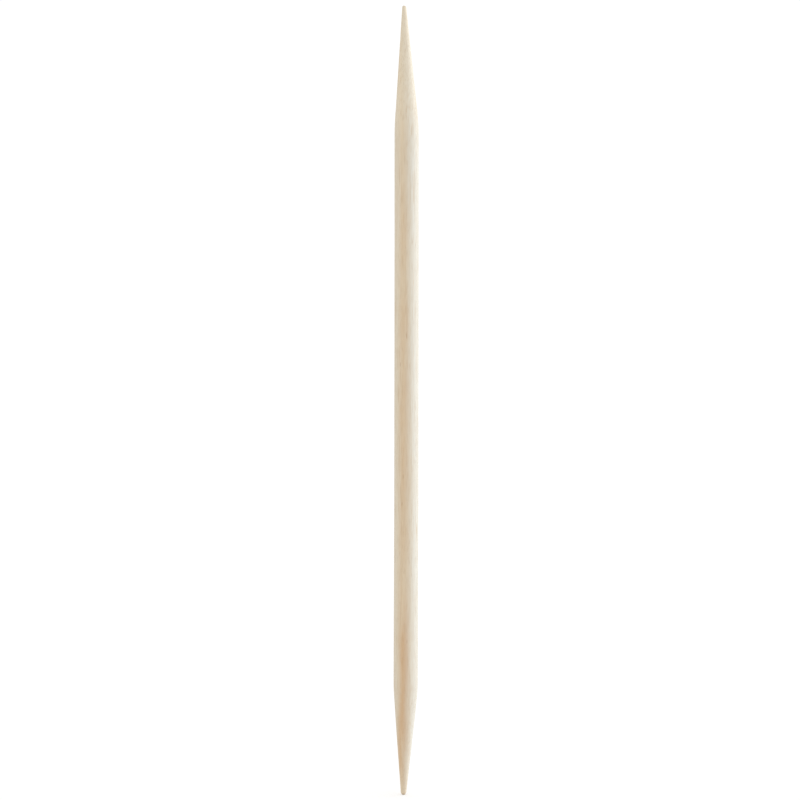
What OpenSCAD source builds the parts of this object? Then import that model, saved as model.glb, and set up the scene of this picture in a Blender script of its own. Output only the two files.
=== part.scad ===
// Cuticle stick: one turned piece of pale birch, a straight round shaft with a
// long conical point at each end.
// It is upright, with its axis along Z, its longer and finer point up and the
// origin on the axis at the middle of its length. All sizes are in millimetres.

/* [Shaft] */
// Length over both points
stick_l = 114.3; // [100:0.1:180]
// Diameter of the straight shaft
shaft_d = 3.5; // [3:0.1:5]

/* [Points] */
// Length of the finer point, from its tip to the edge of the shaft
fine_point_l = 17.4; // [12:0.1:22]
// Radius of the rounded nose on the finer point
fine_nose_r = 0.3; // [0.15:0.01:0.6]
// Length of the stubbier point, from its tip to the edge of the shaft
stubby_point_l = 15.4; // [12:0.1:22]
// Radius of the rounded nose on the stubbier point
stubby_nose_r = 0.4; // [0.15:0.01:0.6]
// Radius that tumbling leaves where a point runs into the shaft
shoulder_r = 30; // [5:1:40]

/* [Smoothness] */
// Facets around the stick
facets = 96; // [32:8:192]
// Steps along each rounded stretch of the outline
arc_steps = 8; // [4:1:16]

/* [Hidden] */
shaft_r = shaft_d / 2;
birch = [0.82, 0.74, 0.63];

// Half-angle of a point: its cone leaves the nose as a tangent and reaches the
// shaft's radius at the point's full length
function point_angle(point_l, nose_r) =
    let (cone_l = point_l - nose_r)
    atan2(shaft_r, cone_l) - asin(nose_r / norm([shaft_r, cone_l]));

function arc(centre, r, from, to) =
    [for (i = [0:arc_steps])
        let (a = from + (to - from) * i / arc_steps)
        centre + r * [cos(a), sin(a)]];

// Outline of one point as [radius, distance from the tip]: the nose, then the
// eased shoulder, with the cone as the straight line between them
function point_outline(point_l, nose_r) =
    let (a = point_angle(point_l, nose_r))
    let (shaft_start = point_l + shoulder_r * tan(a / 2))
    concat(
        arc([0, nose_r], nose_r, -90, -a),
        arc([shaft_r - shoulder_r, shaft_start], shoulder_r, -a, 0)
    );

module half_section() {
    fine_end = point_outline(fine_point_l, fine_nose_r);
    stubby_end = point_outline(stubby_point_l, stubby_nose_r);
    polygon(concat(
        [for (p = stubby_end) [p.x, p.y - stick_l / 2]],
        [for (i = [len(fine_end) - 1:-1:0]) [fine_end[i].x, stick_l / 2 - fine_end[i].y]]
    ));
}

module wooden_stick() {
    color(birch)
        rotate_extrude($fn = facets)
            half_section();
}

wooden_stick();
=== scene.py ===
"""Looks for the wooden cuticle stick: one turned and tumbled piece of birch, shown upright on white.

The stick is made here as one closed mesh on the CAD outline, with what a machine and a tumbler leave on
real wood: a shaft a little off round, points ground a little off centre, worn noses, open pores and nicks.
The modelling works in millimetres, and the finished mesh is in metres.
"""

import math

import bpy
import numpy as np
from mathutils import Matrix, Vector


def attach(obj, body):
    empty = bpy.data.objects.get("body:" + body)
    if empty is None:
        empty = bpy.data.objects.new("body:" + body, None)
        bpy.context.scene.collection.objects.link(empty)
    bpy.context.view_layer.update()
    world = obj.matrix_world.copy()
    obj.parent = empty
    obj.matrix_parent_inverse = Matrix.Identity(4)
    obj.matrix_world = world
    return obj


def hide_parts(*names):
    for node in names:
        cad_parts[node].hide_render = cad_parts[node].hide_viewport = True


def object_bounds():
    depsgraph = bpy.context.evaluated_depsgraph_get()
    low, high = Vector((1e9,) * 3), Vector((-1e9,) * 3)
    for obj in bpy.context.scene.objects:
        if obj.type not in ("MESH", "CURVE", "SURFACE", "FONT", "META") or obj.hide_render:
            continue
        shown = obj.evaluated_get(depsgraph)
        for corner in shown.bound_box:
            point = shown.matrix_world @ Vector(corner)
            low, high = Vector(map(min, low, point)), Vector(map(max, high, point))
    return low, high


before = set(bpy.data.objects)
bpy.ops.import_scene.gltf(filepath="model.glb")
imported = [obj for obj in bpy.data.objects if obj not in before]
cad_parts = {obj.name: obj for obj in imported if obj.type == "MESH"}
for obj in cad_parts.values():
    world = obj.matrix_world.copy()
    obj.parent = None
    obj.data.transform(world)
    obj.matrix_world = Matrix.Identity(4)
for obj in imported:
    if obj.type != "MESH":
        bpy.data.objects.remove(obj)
cad_low, cad_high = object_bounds()

MM = 0.001
NODE = "wooden_stick"
UV_NAME = "OFBake"

# How fine the mesh is: rows from tip to tip, and points round each row
ROWS = 400
AROUND = 240

# How far from the middle of the stick its points begin, in mm
POINTS_FROM = 39.0

# How far each tip lies off the shaft's axis, as [x, y] in mm
UPPER_TIP_OFF = np.array([-0.38, 0.05])
LOWER_TIP_OFF = np.array([-0.30, -0.04])
# The most that the stick's middle bends out of line, as [x, y] in mm
BOW = np.array([0.10, -0.02])

# How far each kind of unevenness reaches, in mm. Where there are two values, the lumps are of two sizes
SHOULDER_WANDER = [0.55, 0.2]
OUT_OF_ROUND = [0.012, 0.008]
FIBRE_RELIEF = [0.006, 0.004]
GROUND_POINTS = [0.02, 0.0035]
WORN_NOSES = 0.012
PORE_DEPTH = 0.009
# The unevenness is at its full height where the stick is at least this thick, as a radius in mm
FULL_RELIEF_R = 0.7

# Nicks from the tumbler, as [turn round the stick in degrees, height, length, width, depth] in mm
NICKS = [
    [262, 21.5, 0.9, 0.35, 0.035],
    [318, -27.0, 1.4, 0.30, 0.030],
    [205, 3.5, 0.7, 0.40, 0.030],
    [20, 33.0, 1.1, 0.30, 0.035],
    [75, -12.0, 1.8, 0.25, 0.030],
    [135, -35.5, 0.8, 0.40, 0.040],
    [288, 46.0, 0.6, 0.25, 0.025],
]

# Where the browner streak down the front is stronger or weaker, as [height, half its length] in mm, and by
# how much
STREAK_PATCHES = [
    [25.5, 6.5, 0.24],
    [15.0, 5.0, -0.15],
    [-2.0, 7.0, 0.22],
    [-24.8, 5.5, -0.24],
    [-40.5, 5.0, 0.24],
]

# The camera: how much taller the view is than the stick, how far left of it the camera stands, as a share
# of the stick's length, and its roll in degrees
VIEW_OVER_LENGTH = 1.014
CAMERA_LEFT = 0.0073
CAMERA_ROLL = -0.087


# ---------------------------------------------------------------- the stick's shape

def smooth_step(value, low, high):
    """0 below low, 1 above high, and an S-shaped rise between them."""
    part = np.clip((value - low) / (high - low), 0, 1)
    return part * part * (3 - 2 * part)


def cad_outline():
    """The CAD stick's outline from its lower tip to its upper one: each ring's radius and height, in mm."""
    points = np.array([v.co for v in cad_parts[NODE].data.vertices]) / MM
    heights, ring = np.unique(points[:, 2].round(4), return_inverse=True)
    radii = np.zeros(len(heights))
    np.maximum.at(radii, ring, np.hypot(points[:, 0], points[:, 1]))
    return radii, heights


def eased_outline(step=0.004, ease=0.02):
    """The outline at even steps along its own length, with the facets of its arcs eased away."""
    radii, heights = cad_outline()
    along = np.append(0, np.cumsum(np.hypot(np.diff(radii), np.diff(heights))))
    places = np.arange(0, along[-1], step)
    pad = round(4 * ease / step)
    kernel = np.exp(-0.5 * (np.arange(-pad, pad + 1) * step / ease) ** 2)
    kernel /= kernel.sum()
    radius = np.interp(places, along, radii)
    height = np.interp(places, along, heights)
    # past each tip, the outline goes on as its own mirror image
    radius = np.concatenate([-radius[pad:0:-1], radius, -radius[-2:-pad - 2:-1]])
    height = np.concatenate([height[pad:0:-1], height, height[-2:-pad - 2:-1]])
    return places, np.convolve(radius, kernel, "valid"), np.convolve(height, kernel, "valid")


def spread_rows(places, radius, finest=0.03, coarsest=0.34, nose=0.25, opening=0.2):
    """Where the mesh's rows lie along the outline: close together on the noses and sparser on the shaft."""
    spacing = np.clip(finest + opening * (radius - nose), finest, coarsest)
    share = np.cumsum(1 / spacing)
    share = (share - share[0]) / (share[-1] - share[0])
    return np.interp(np.linspace(0, 1, ROWS), share, places)


def relief(places, seed, around, along):
    """Smooth noise from -1 to 1 on every point: so many lumps round the stick, each `along` mm long."""
    rng = np.random.default_rng(seed)
    lumps = rng.uniform(-1, 1, (int(places[-1] / along) + 3, around))

    def cells(position):
        low = np.floor(position).astype(int)
        part = position - low
        return low, part * part * (3 - 2 * part)

    row, up = cells(places / along)
    column, over = cells(np.arange(AROUND) * around / AROUND)
    beside = (column + 1) % around
    lower = lumps[row][:, column] * (1 - over) + lumps[row][:, beside] * over
    upper = lumps[row + 1][:, column] * (1 - over) + lumps[row + 1][:, beside] * over
    return lower * (1 - up[:, None]) + upper * up[:, None]


def wood_noise(points, seed, across, along):
    """Smooth noise from -1 to 1 in the wood itself: grains so many mm across and so many mm long."""
    rng = np.random.default_rng(seed)
    cells = (points - points.min((0, 1))) / [across, across, along]
    lumps = rng.uniform(-1, 1, cells.max((0, 1)).astype(int) + 2)
    low = cells.astype(int)
    part = cells - low
    part = part * part * (3 - 2 * part)
    total = 0
    for corner in np.ndindex(2, 2, 2):
        x, y, z = np.moveaxis(low + corner, -1, 0)
        total += lumps[x, y, z] * np.where(corner, part, 1 - part).prod(-1)
    return total


def pores(points):
    """How open the grain is at every point, 0 to 1: vessels that the surface cuts along here and there."""
    wide = smooth_step(wood_noise(points, seed=11, across=0.15, along=3.2), 0.42, 0.75)
    narrow = smooth_step(wood_noise(points, seed=12, across=0.11, along=2.0), 0.50, 0.80)
    patches = smooth_step(wood_noise(points, seed=13, across=0.9, along=11.0), -0.7, 0.5)
    return np.maximum(wide, 0.8 * narrow) * patches


def nicks(turn, height, shaft_r):
    """How deep the nicks are at every point, in mm."""
    depth = np.zeros((len(height), AROUND))
    for degrees, at, length, width, deepest in NICKS:
        across = (turn - math.radians(degrees) + math.pi) % (2 * math.pi) - math.pi
        spot = (across * shaft_r / width)[None, :] ** 2 + ((height - at) / length)[:, None] ** 2
        depth += deepest * np.exp(-2 * spot)
    return depth


def wandering_radius(places, outline_r, rows, radius, height, thickness):
    """Every point's radius. The shoulders wander: each side of a point meets the shaft at its own height."""
    inward = np.sign(-height)[:, None]
    wander = SHOULDER_WANDER[0] * relief(rows, seed=21, around=3, along=70.0)
    wander += SHOULDER_WANDER[1] * relief(rows, seed=22, around=9, along=40.0)
    reach = rows[:, None] + inward * wander * thickness * smooth_step(radius, 0.3, 1.6)[:, None]
    return np.interp(reach, places, outline_r)


def unevenness(points, rows, radius, on_point, thickness):
    """How far the wood stands off its outline at every point, in mm, before the pores and nicks."""
    out_of_round = OUT_OF_ROUND[0] * relief(rows, seed=1, around=4, along=60.0)
    out_of_round += OUT_OF_ROUND[1] * relief(rows, seed=2, around=11, along=35.0)
    fibres = FIBRE_RELIEF[0] * wood_noise(points, seed=3, across=0.13, along=5.0)
    fibres += FIBRE_RELIEF[1] * wood_noise(points, seed=4, across=0.27, along=9.0)
    ground = GROUND_POINTS[0] * relief(rows, seed=5, around=7, along=9.0)
    ground += GROUND_POINTS[1] * relief(rows, seed=6, around=5, along=0.36)
    worn = WORN_NOSES * wood_noise(points, seed=7, across=0.14, along=0.3)
    worn *= smooth_step(0.42 - radius, 0, 0.3)[:, None]
    return (out_of_round + fibres + ground * smooth_step(on_point, 0, 0.15)) * thickness + worn


def axis_of_rings(height, on_point):
    """Where each ring's middle lies, as [x, y] in mm: the tips are off centre, and the shaft is bowed."""
    tip_off = np.where(height[:, None] > 0, UPPER_TIP_OFF, LOWER_TIP_OFF)
    return tip_off * on_point + BOW * (1 - (height / height[-1]) ** 2)[:, None]


def stick_rings():
    """The rings of points from tip to tip, in mm, how open the grain is at each, and each ring's place."""
    places, outline_r, outline_z = eased_outline()
    rows = spread_rows(places, outline_r)
    radius = np.interp(rows, places, outline_r)
    height = np.interp(rows, places, outline_z)
    shaft_r = outline_r.max()
    turn = math.pi / 2 + np.arange(AROUND) * 2 * math.pi / AROUND
    on_point = (1 - radius / shaft_r)[:, None]
    thickness = np.clip(radius / FULL_RELIEF_R, 0, 1)[:, None]

    ring_r = wandering_radius(places, outline_r, rows, radius, height, thickness)
    level = np.broadcast_to(height[:, None], ring_r.shape)
    smooth = np.stack([ring_r * np.cos(turn), ring_r * np.sin(turn), level], axis=-1)
    open_grain = pores(smooth)
    dents = nicks(turn, height, shaft_r)
    proud = unevenness(smooth, rows, radius, on_point, thickness)
    proud -= (PORE_DEPTH * open_grain + dents) * thickness

    slope_r = np.gradient(radius, rows)[:, None]
    slope_z = np.gradient(height, rows)[:, None]
    off_axis = axis_of_rings(height, on_point)
    spread = ring_r + proud * slope_z
    rings = np.stack([
        off_axis[:, :1] + spread * np.cos(turn),
        off_axis[:, 1:] + spread * np.sin(turn),
        height[:, None] - proud * slope_r,
    ], axis=-1)
    # the first and last rings close to a single point each
    rings[0] = rings[0].mean(0)
    rings[-1] = rings[-1].mean(0)
    return rings, open_grain, rows


def stick_faces():
    """Quads between the rings and a fan on each tip. A tip is one point, at the end of the list."""
    rings = np.arange((ROWS - 2) * AROUND).reshape(ROWS - 2, AROUND)
    beside = np.roll(rings, -1, axis=1)
    quads = np.stack([rings[:-1], beside[:-1], beside[1:], rings[1:]], axis=-1).reshape(-1, 4)
    lower_tip = rings.size
    faces = [[int(b), int(a), lower_tip] for a, b in zip(rings[0], beside[0])]
    faces += quads.tolist()
    faces += [[int(a), int(b), lower_tip + 1] for a, b in zip(rings[-1], beside[-1])]
    return faces


def unroll(mesh, rows, gap=0.01):
    """Lays each half of the stick out flat as one upright band, so that a bake serves all parts alike."""
    layer = mesh.uv_layers.new(name=UV_NAME)
    middle = np.searchsorted(rows, rows[-1] / 2)
    for face in mesh.polygons:
        ring, column = divmod(face.index - AROUND, AROUND)
        ring = min(max(ring, -1), ROWS - 3)
        upper = ring + 1 >= middle
        for loop in face.loop_indices:
            vertex = mesh.loops[loop].vertex_index
            if vertex < (ROWS - 2) * AROUND:
                row, place = divmod(vertex, AROUND)
                side = (place - column) % AROUND
                row += 1
            else:
                row, side = (0 if vertex == (ROWS - 2) * AROUND else ROWS - 1), 0.5
            across = gap + (0.5 - 2 * gap) * (column + side) / AROUND
            far = abs(rows[row] - rows[middle]) / (rows[-1] / 2)
            layer.data[loop].uv = (across + 0.5 * upper, gap + (1 - 2 * gap) * min(far, 1))


def make_stick():
    """The whole stick as one closed mesh."""
    rings, open_grain, rows = stick_rings()
    points = np.concatenate([rings[1:-1].reshape(-1, 3), rings[0, :1], rings[-1, :1]]) * MM
    mesh = bpy.data.meshes.new("birch_stick")
    mesh.from_pydata(points.tolist(), [], stick_faces())
    mesh.shade_smooth()
    grain = mesh.attributes.new("open_grain", "FLOAT", "POINT")
    grain.data.foreach_set("value", np.append(open_grain[1:-1].ravel(), [0.5, 0.5]))
    unroll(mesh, rows)
    stick = bpy.data.objects.new("birch_stick", mesh)
    bpy.context.collection.objects.link(stick)
    return stick


# ---------------------------------------------------------------- materials

def srgb(red, green, blue):
    """A colour as it looks on a screen, 0 to 255, in the linear values that a shader takes."""
    def linear(value):
        value /= 255
        return value / 12.92 if value <= 0.04045 else ((value + 0.055) / 1.055) ** 2.4

    return linear(red), linear(green), linear(blue), 1.0


def node(tree, kind, inputs=(), output=0, **settings):
    """Adds one node and gives its output. Each input is a value, or another node's output."""
    made = tree.nodes.new(kind)
    for name, value in settings.items():
        setattr(made, name, value)
    for key, value in dict(inputs).items():
        if isinstance(value, bpy.types.NodeSocket):
            tree.links.new(value, made.inputs[key])
        else:
            made.inputs[key].default_value = value
    return made.outputs[output]


def maths(tree, operation, a, b=0.0, c=0.0):
    """One step of arithmetic on up to three values."""
    return node(tree, "ShaderNodeMath", {0: a, 1: b, 2: c}, operation=operation)


def times(tree, a, b):
    return maths(tree, "MULTIPLY", a, b)


def plus(tree, a, b):
    return maths(tree, "ADD", a, b)


def rise(tree, value, low, high, to_low=0.0, to_high=1.0):
    """An S-shaped step from to_low to to_high as value goes from low to high."""
    inputs = {"Value": value, "From Min": low, "From Max": high, "To Min": to_low, "To Max": to_high}
    return node(tree, "ShaderNodeMapRange", inputs, interpolation_type="SMOOTHSTEP")


def stretch(tree, vector, across, along):
    """Scales a place in mm to lumps: so many to the mm across the grain, and so many along it."""
    return node(tree, "ShaderNodeVectorMath", {0: vector, 1: (across, across, along)}, operation="MULTIPLY")


def noise(tree, vector, detail=2.0, roughness=0.5):
    """Smooth noise from 0 to 1, with lumps about one unit of the vector in size."""
    inputs = {"Vector": vector, "Scale": 1.0, "Detail": detail, "Roughness": roughness}
    return node(tree, "ShaderNodeTexNoise", inputs, output="Fac")


def mix(tree, share, a, b):
    """Colour a, with that share of colour b mixed into it."""
    inputs = {"Factor": share, "A": a, "B": b}
    made = tree.nodes.new("ShaderNodeMix")
    made.data_type = "RGBA"
    sockets = {s.name: s for s in made.inputs if s.enabled}
    for name, value in inputs.items():
        if isinstance(value, bpy.types.NodeSocket):
            tree.links.new(value, sockets[name])
        else:
            sockets[name].default_value = value
    return next(s for s in made.outputs if s.enabled)


def in_mm(tree):
    """The place on the stick, in mm."""
    place = node(tree, "ShaderNodeTexCoord", output="Object")
    return node(tree, "ShaderNodeVectorMath", {0: place, "Scale": 1 / MM}, operation="SCALE")


def along_the_grain(tree, place):
    """The place as the tree grew: the grain runs a degree or so off the stick's axis, and wavers."""
    lean = (math.radians(1.1), math.radians(-0.8), 0.0)
    leaning = node(tree, "ShaderNodeVectorRotate", {"Vector": place, "Rotation": lean},
                   rotation_type="EULER_XYZ")
    waver = node(tree, "ShaderNodeTexNoise", {"Vector": stretch(tree, leaning, 0.12, 0.045), "Scale": 1.0},
                 output="Color")
    centred = node(tree, "ShaderNodeVectorMath", {0: waver, 1: (0.5, 0.5, 0.5)}, operation="SUBTRACT")
    sideways = node(tree, "ShaderNodeVectorMath", {0: centred, 1: (1.1, 1.1, 0.0)}, operation="MULTIPLY")
    return node(tree, "ShaderNodeVectorMath", {0: leaning, 1: sideways}, operation="ADD")


def growth_rings(tree, grain):
    """How late in the year the wood grew, 0 to 1: it rises through each ring and ends in a thin line."""
    pith = (-38.0, 7.0, 0.0)
    ring_width = 1.35
    out = node(tree, "ShaderNodeVectorMath", {0: grain, 1: pith}, operation="SUBTRACT")
    flat = node(tree, "ShaderNodeVectorMath", {0: out, 1: (1.0, 1.0, 0.0)}, operation="MULTIPLY")
    radius = node(tree, "ShaderNodeVectorMath", {0: flat}, output="Value", operation="LENGTH")
    uneven = noise(tree, stretch(tree, grain, 0.5, 0.02), detail=1.0)
    years = plus(tree, times(tree, radius, 1 / ring_width), times(tree, uneven, 0.8))
    part = maths(tree, "FRACT", years)
    body = rise(tree, part, 0.15, 0.95, 0.0, 0.45)
    line = times(tree, rise(tree, part, 0.84, 0.96), rise(tree, part, 0.975, 1.0, 1.0, 0.0))
    return plus(tree, body, times(tree, line, 0.55))


def facing_ends(tree):
    """How much the surface faces along the stick, 0 to 1, as it does only on the noses."""
    facing = node(tree, "ShaderNodeTexCoord", output="Normal")
    return maths(tree, "ABSOLUTE", node(tree, "ShaderNodeSeparateXYZ", {0: facing}, output="Z"))


def sanding(tree, place):
    """Fine marks that the belt leaves round the two points, and not on the shaft."""
    marks = noise(tree, stretch(tree, place, 0.9, 22.0), roughness=0.7)
    up = node(tree, "ShaderNodeSeparateXYZ", {0: place}, output="Z")
    point = rise(tree, maths(tree, "ABSOLUTE", up), POINTS_FROM, POINTS_FROM + 3.0)
    return times(tree, plus(tree, marks, -0.5), point)


def vessels(tree, grain):
    """How open the grain is, 0 to 1: the mesh's own grooves, and finer vessels between them."""
    fine = rise(tree, noise(tree, stretch(tree, grain, 17.0, 0.42), detail=1.0), 0.58, 0.70)
    grooves = node(tree, "ShaderNodeAttribute", output="Fac", attribute_name="open_grain")
    return maths(tree, "MAXIMUM", times(tree, fine, 0.75), grooves)


def right_of_middle(tree, place, up, grain):
    """How far right of the stick's middle, in mm, unevenly. The middle moves left on both points."""
    clouds = noise(tree, stretch(tree, grain, 0.55, 0.045))
    across = node(tree, "ShaderNodeSeparateXYZ", {0: place}, output="X")
    moved = rise(tree, maths(tree, "ABSOLUTE", up), POINTS_FROM, POINTS_FROM + 16.0, 0.0, 0.37)
    return plus(tree, plus(tree, across, moved), times(tree, plus(tree, clouds, -0.5), 0.7))


def front_streak(tree, across, up, grain):
    """How strong the browner streak down the front is, 0 to 1. It is strongest in the lower half."""
    patches = noise(tree, stretch(tree, grain, 0.9, 0.12), detail=1.0)
    beside = maths(tree, "ABSOLUTE", plus(tree, across, 0.15))
    lower_half = rise(tree, up, 28.0, 8.0, 0.2, 0.6)
    lower_end = rise(tree, up, -26.0, -36.0, 0.0, 0.6)
    off_the_tips = times(tree, rise(tree, up, 46.0, 38.0), rise(tree, up, -60.0, -50.0))
    strength = times(tree, plus(tree, lower_half, lower_end), off_the_tips)
    strength = times(tree, strength, rise(tree, patches, 0.3, 0.62, 0.5, 1.0))
    for at, half, more in STREAK_PATCHES:
        away = maths(tree, "ABSOLUTE", plus(tree, up, -at))
        strength = plus(tree, strength, rise(tree, away, 0.0, half, more, 0.0))
    return times(tree, rise(tree, beside, 0.2, 1.2, 1.0, 0.0), strength)


def birch_colour(tree, place, grain, rings, fibres, threads, open_grain):
    """Cream wood with a browner streak, a right side made paler by painted light from the lamp on the right,
    a paler left edge and a paler upper tip, then fibres and vessels.
    """
    early = srgb(212, 196, 169)
    late = srgb(200, 176, 143)
    # a pale cream, used for pale threads in the grain and for the painted light on the right side
    sapwood_and_painted_light = srgb(208, 207, 199)
    pale = srgb(224, 212, 189)
    warm = srgb(198, 165, 128)
    vessel = srgb(184, 156, 122)
    fleck = srgb(150, 112, 78)

    up = node(tree, "ShaderNodeSeparateXYZ", {0: place}, output="Z")
    across = right_of_middle(tree, place, up, grain)
    streak = front_streak(tree, across, up, grain)
    flecks = rise(tree, noise(tree, stretch(tree, grain, 3.2, 0.5), detail=0.0), 0.81, 0.90)
    end_grain = rise(tree, facing_ends(tree), 0.25, 0.85)
    # painted light: the right side, where the lamp falls, is paler, and the pale band is wider towards the
    # upper tip
    painted_lit_side = plus(tree, across, rise(tree, up, 18.0, 32.0, 0.0, 0.25))

    colour = mix(tree, times(tree, rings, 0.5), early, late)
    colour = mix(tree, times(tree, streak, 0.85), colour, warm)
    # painted highlight: the right side is mixed towards pale cream
    colour = mix(tree, rise(tree, painted_lit_side, -0.5, 1.5, 0.0, 0.9), colour, sapwood_and_painted_light)
    colour = mix(tree, rise(tree, across, -0.5, -1.4, 0.0, 0.32), colour, sapwood_and_painted_light)
    colour = mix(tree, rise(tree, up, 36.0, 43.0, 0.0, 0.34), colour, pale)
    colour = mix(tree, rise(tree, fibres, 0.35, 0.75, 0.0, 0.30), colour, late)
    colour = mix(tree, rise(tree, threads, 0.45, 0.75, 0.0, 0.16), colour, sapwood_and_painted_light)
    colour = mix(tree, times(tree, open_grain, 0.42), colour, vessel)
    colour = mix(tree, times(tree, flecks, 0.45), colour, fleck)
    return mix(tree, times(tree, end_grain, 0.30), colour, vessel)


def birch_bump(tree, place, rings, fibres, threads, open_grain):
    """The finest relief, too fine for the mesh, as a bent normal. The shares are heights in mm."""
    height = plus(tree, times(tree, fibres, 0.012), times(tree, threads, 0.006))
    height = plus(tree, height, times(tree, open_grain, -0.012))
    height = plus(tree, height, times(tree, rings, 0.006))
    height = plus(tree, height, times(tree, sanding(tree, place), 0.004))
    return node(tree, "ShaderNodeBump", {"Height": height, "Strength": 1.0, "Distance": MM})


def make_birch():
    """Bare, tumbled birch: cream wood with faint growth rings, fine fibres, short vessels and rare flecks."""
    material = bpy.data.materials.new("birch")
    material.use_nodes = True
    tree = material.node_tree
    shader = tree.nodes["Principled BSDF"]
    place = in_mm(tree)
    grain = along_the_grain(tree, place)

    rings = growth_rings(tree, grain)
    fibres = noise(tree, stretch(tree, grain, 11.0, 0.22), detail=3.0, roughness=0.6)
    threads = noise(tree, stretch(tree, grain, 34.0, 1.1), detail=1.0)
    open_grain = vessels(tree, grain)

    colour = birch_colour(tree, place, grain, rings, fibres, threads, open_grain)
    # fibres catch the light unevenly, and open grain is dull
    rough = plus(tree, rise(tree, fibres, 0.3, 0.75, 0.50, 0.66), times(tree, open_grain, 0.12))
    bump = birch_bump(tree, place, rings, fibres, threads, open_grain)
    tree.links.new(colour, shader.inputs["Base Color"])
    tree.links.new(rough, shader.inputs["Roughness"])
    tree.links.new(bump, shader.inputs["Normal"])
    shader.inputs["IOR"].default_value = 1.45
    shader.inputs["Specular IOR Level"].default_value = 0.35
    return material


def make_floor_white():
    """A white with no gloss at all."""
    material = bpy.data.materials.new("floor_white")
    material.use_nodes = True
    shader = material.node_tree.nodes["Principled BSDF"]
    shader.inputs["Base Color"].default_value = (1.0, 1.0, 1.0, 1.0)
    shader.inputs["Roughness"].default_value = 1.0
    shader.inputs["Specular IOR Level"].default_value = 0.0
    return material


# ---------------------------------------------------------------- the studio

def make_floor(height, half=2.0):
    """A plain white floor at the stick's lower tip."""
    mesh = bpy.data.meshes.new("floor")
    corners = [(-half, -half, height), (half, -half, height), (half, half, height), (-half, half, height)]
    mesh.from_pydata(corners, [], [[0, 1, 2, 3]])
    floor = bpy.data.objects.new("floor", mesh)
    bpy.context.collection.objects.link(floor)
    floor.data.materials.append(make_floor_white())


def make_world():
    """Even white light from all round, which also gives the plain white background.

    It is a little over white, so that the floor, which loses a little of it, is still pure white.
    """
    world = bpy.data.worlds.new("studio")
    world.use_nodes = True
    background = world.node_tree.nodes["Background"]
    background.inputs["Color"].default_value = (1.0, 1.0, 1.0, 1.0)
    background.inputs["Strength"].default_value = 1.04
    bpy.context.scene.world = world


def make_softbox(name, turn, lift, distance, size, watts, lit):
    """A large square lamp aimed at the stick, turned about Z from the camera's side towards +X.

    It lights only the pieces in lit, so the floor stays as white as the background.
    """
    lamp = bpy.data.lights.new(name, "AREA")
    lamp.shape = "SQUARE"
    lamp.size = size
    lamp.energy = watts
    a, e = math.radians(turn), math.radians(lift)
    way = Vector((math.sin(a) * math.cos(e), -math.cos(a) * math.cos(e), math.sin(e)))
    box = bpy.data.objects.new(name, lamp)
    box.location = way * distance
    box.rotation_euler = way.to_track_quat("Z", "Y").to_euler()
    box.visible_camera = False
    box.light_linking.receiver_collection = lit
    bpy.context.collection.objects.link(box)


def make_lamps(piece):
    """A large soft lamp from the right and a weaker one from behind."""
    lit = bpy.data.collections.new("lit")
    lit.objects.link(piece)
    make_softbox("key", turn=100, lift=12, distance=0.8, size=0.5, watts=3.8, lit=lit)
    make_softbox("back", turn=180, lift=25, distance=0.8, size=0.4, watts=1.2, lit=lit)


def make_camera(low, high):
    """A long lens straight in front of the stick, with a little white above and below it."""
    lens = bpy.data.cameras.new("camera")
    lens.lens = 120.0
    lens.sensor_width = 36.0
    length = high.z - low.z
    view_height = length * VIEW_OVER_LENGTH
    distance = view_height * lens.lens / lens.sensor_width
    camera = bpy.data.objects.new("camera", lens)
    camera.location = (-CAMERA_LEFT * length, -distance, (low.z + high.z) / 2)
    camera.rotation_euler = (math.pi / 2, math.radians(CAMERA_ROLL), 0.0)
    bpy.context.collection.objects.link(camera)
    bpy.context.scene.camera = camera


def plain_colours():
    """White stays white: no film curve between the light and the picture."""
    scene = bpy.context.scene
    scene.view_settings.view_transform = "Standard"
    scene.view_settings.look = "None"


stick = make_stick()
stick.data.materials.append(make_birch())
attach(stick, "root")
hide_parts(NODE)

low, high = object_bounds()
make_camera(cad_low, cad_high)
make_world()
make_lamps(stick)
make_floor(low.z)
plain_colours()
